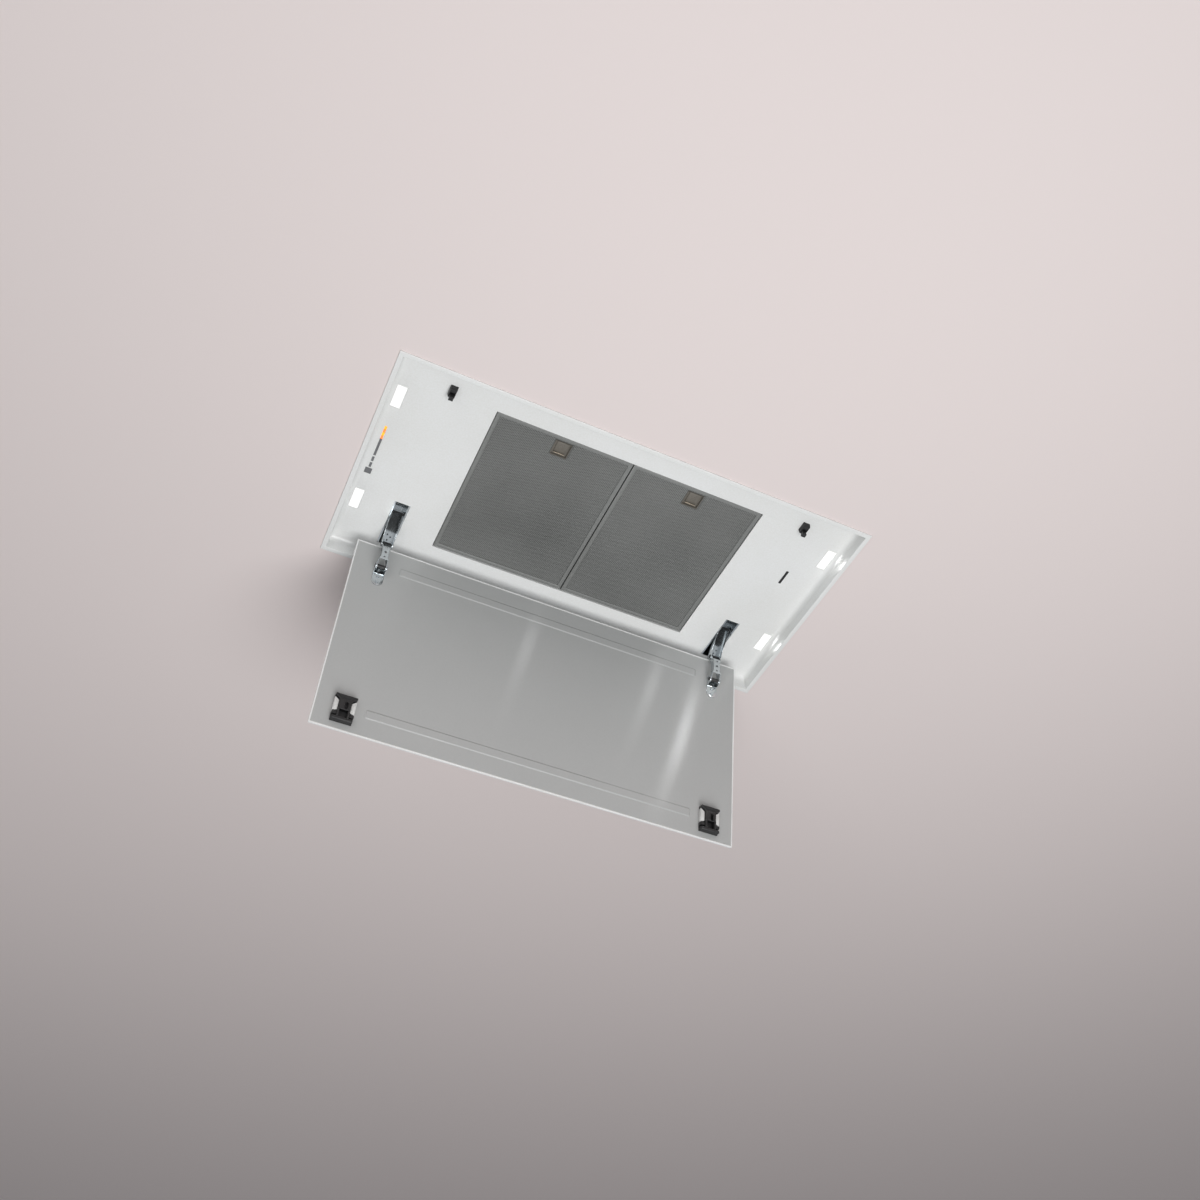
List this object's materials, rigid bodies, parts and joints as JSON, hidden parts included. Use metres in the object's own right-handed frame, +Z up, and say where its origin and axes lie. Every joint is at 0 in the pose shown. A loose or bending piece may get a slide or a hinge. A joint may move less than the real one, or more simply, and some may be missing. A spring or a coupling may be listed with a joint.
{
  "type": "ceiling range hood",
  "caption": "Flush ceiling range hood with a coved white tray, drop-down suction panel on folding hinges, grease filters, lamps, fan and rod suspension.",
  "frame": {"origin": "centre of the four suspension holes, at the top face of the bracket tabs", "axes": "+X along the hood's length, +Y towards the hinge side and the duct outlet, +Z up towards the structural ceiling"},
  "size_m": [1.05, 0.5764, 0.704],
  "materials": {
    "white_enamel": "white powder enamel on steel sheet, gloss",
    "galvanised_sheet": "hot-dip galvanised steel sheet, satin",
    "zinc_fasteners": "zinc-plated steel",
    "hinge_steel": "nickel-plated pressed steel, semi-bright",
    "pin_steel": "turned steel, bright",
    "black_polyamide": "moulded black polyamide, fine grain",
    "grey_polypropylene": "moulded grey polypropylene",
    "white_abs": "moulded white ABS",
    "lens_acrylic": "opal acrylic, gloss",
    "lamp_aluminium": "die-cast aluminium, matt",
    "orange_lens": "lit orange acrylic",
    "smoke_lens": "smoke-grey acrylic",
    "circuit_board": "green solder mask on glass-epoxy board",
    "filter_aluminium": "expanded aluminium mesh, matt",
    "frame_aluminium": "rolled aluminium frame, satin",
    "motor_paint": "dark grey lacquered motor casing",
    "rubber_mount": "black rubber",
    "capacitor_can": "drawn aluminium can",
    "panel_enamel": "white powder enamel, gloss",
    "liner_grey": "grey gloss lacquer on pressed steel",
    "core_board": "honeycomb board",
    "anodised_aluminium": "brown-grey anodised aluminium, satin",
    "pale_pad": "pale soft pad"
  },
  "bodies": {
    "hood": {"ceiling_tray": "white_enamel", "body_shell": "galvanised_sheet", "body_lid": "galvanised_sheet", "housing_screws": "zinc_fasteners", "cross_rail_left": "galvanised_sheet", "cross_rail_right": "galvanised_sheet", "stud_nuts": "zinc_fasteners", "suspension_brackets": "galvanised_sheet", "cable_gland": "black_polyamide", "outlet_collar": "grey_polypropylene", "flap_pin": "pin_steel", "fan_scroll": "galvanised_sheet", "fan_inlet_ring": "grey_polypropylene", "fan_cover": "galvanised_sheet", "fan_mounts": "rubber_mount", "motor": "motor_paint", "control_box": "white_abs", "control_box_lid": "white_abs", "run_capacitor": "capacitor_can", "led_driver": "black_polyamide", "lamp_lenses": "lens_acrylic", "lamp_bodies": "lamp_aluminium", "control_board": "circuit_board", "level_lamps": "orange_lens", "level_bar": "smoke_lens", "display_window": "smoke_lens", "sensor_unit": "black_polyamide", "catch_housings": "black_polyamide", "filter_frame_left": "frame_aluminium", "filter_frame_right": "frame_aluminium", "filter_mesh_left": "filter_aluminium", "filter_mesh_right": "filter_aluminium", "filter_cups": "anodised_aluminium", "hinge_case_left": "galvanised_sheet", "hinge_case_right": "galvanised_sheet", "case_pins": "pin_steel"},
    "arms": {"hinge_arm_left": "hinge_steel", "hinge_arm_right": "hinge_steel", "knee_pins": "pin_steel"},
    "links": {"hinge_link_left": "hinge_steel", "hinge_link_right": "hinge_steel"},
    "panel": {"panel_skin": "panel_enamel", "panel_liner": "liner_grey", "panel_core": "core_board", "hinge_leaf_left": "hinge_steel", "hinge_leaf_right": "hinge_steel", "leaf_screws": "zinc_fasteners", "leaf_pins": "pin_steel", "panel_latch_left": "black_polyamide", "panel_latch_right": "black_polyamide", "latch_pads": "pale_pad"},
    "latch_handle_left": {"filter_handle_left": "anodised_aluminium"},
    "latch_handle_right": {"filter_handle_right": "anodised_aluminium"},
    "tongue_left": {"catch_tongue_left": "black_polyamide"},
    "tongue_right": {"catch_tongue_right": "black_polyamide"},
    "rotor": {"impeller": "grey_polypropylene", "motor_shaft": "pin_steel"},
    "outlet_flap_left": {"flap_left": "grey_polypropylene"},
    "outlet_flap_right": {"flap_right": "grey_polypropylene"}
  },
  "joints": [
    {"name": "hinge_swing", "type": "hinge", "parent": "hood", "child": "arms", "pos_m": [0, 0.14544, -0.19633], "axis": [1, 0, 0], "range_deg": [0, 50]},
    {"name": "hinge_fold", "type": "hinge", "parent": "arms", "child": "links", "pos_m": [0, 0.19602, -0.24869], "axis": [1, 0, 0], "range_deg": [-110, 0]},
    {"name": "panel_fold", "type": "hinge", "parent": "links", "child": "panel", "pos_m": [0, 0.20702, -0.31113], "axis": [1, 0, 0], "range_deg": [-40, 0]},
    {"name": "filter_latch_left", "type": "slide", "parent": "hood", "child": "latch_handle_left", "axis": [0, 1, 0], "range_m": [0, 0.005], "stiffness_N_per_m": 400, "springref_m": -0.003},
    {"name": "filter_latch_right", "type": "slide", "parent": "hood", "child": "latch_handle_right", "axis": [0, 1, 0], "range_m": [0, 0.005], "stiffness_N_per_m": 400, "springref_m": -0.003},
    {"name": "catch_slide_left", "type": "slide", "parent": "hood", "child": "tongue_left", "axis": [0, -1, 0], "range_m": [0, 0.003], "stiffness_N_per_m": 400, "springref_m": -0.003},
    {"name": "catch_slide_right", "type": "slide", "parent": "hood", "child": "tongue_right", "axis": [0, -1, 0], "range_m": [0, 0.003], "stiffness_N_per_m": 400, "springref_m": -0.003},
    {"name": "fan_spin", "type": "hinge", "parent": "hood", "child": "rotor", "pos_m": [-0.095, -0.04, -0.096], "axis": [0, 0, 1], "continuous": true},
    {"name": "flap_swing_left", "type": "hinge", "parent": "hood", "child": "outlet_flap_left", "pos_m": [0, 0.2729, -0.102], "axis": [0, 0, -1], "range_deg": [0, 80], "stiffness_Nm_per_rad": 0.01, "springref_deg": -17.19},
    {"name": "flap_swing_right", "type": "hinge", "parent": "hood", "child": "outlet_flap_right", "pos_m": [0, 0.2729, -0.102], "axis": [0, 0, 1], "range_deg": [0, 80], "stiffness_Nm_per_rad": 0.01, "springref_deg": -17.19}
  ],
  "couplings": [
    {"joint": "hinge_fold", "follows": "hinge_swing", "ratio": -2.2},
    {"joint": "panel_fold", "follows": "hinge_swing", "ratio": -0.8}
  ]
}
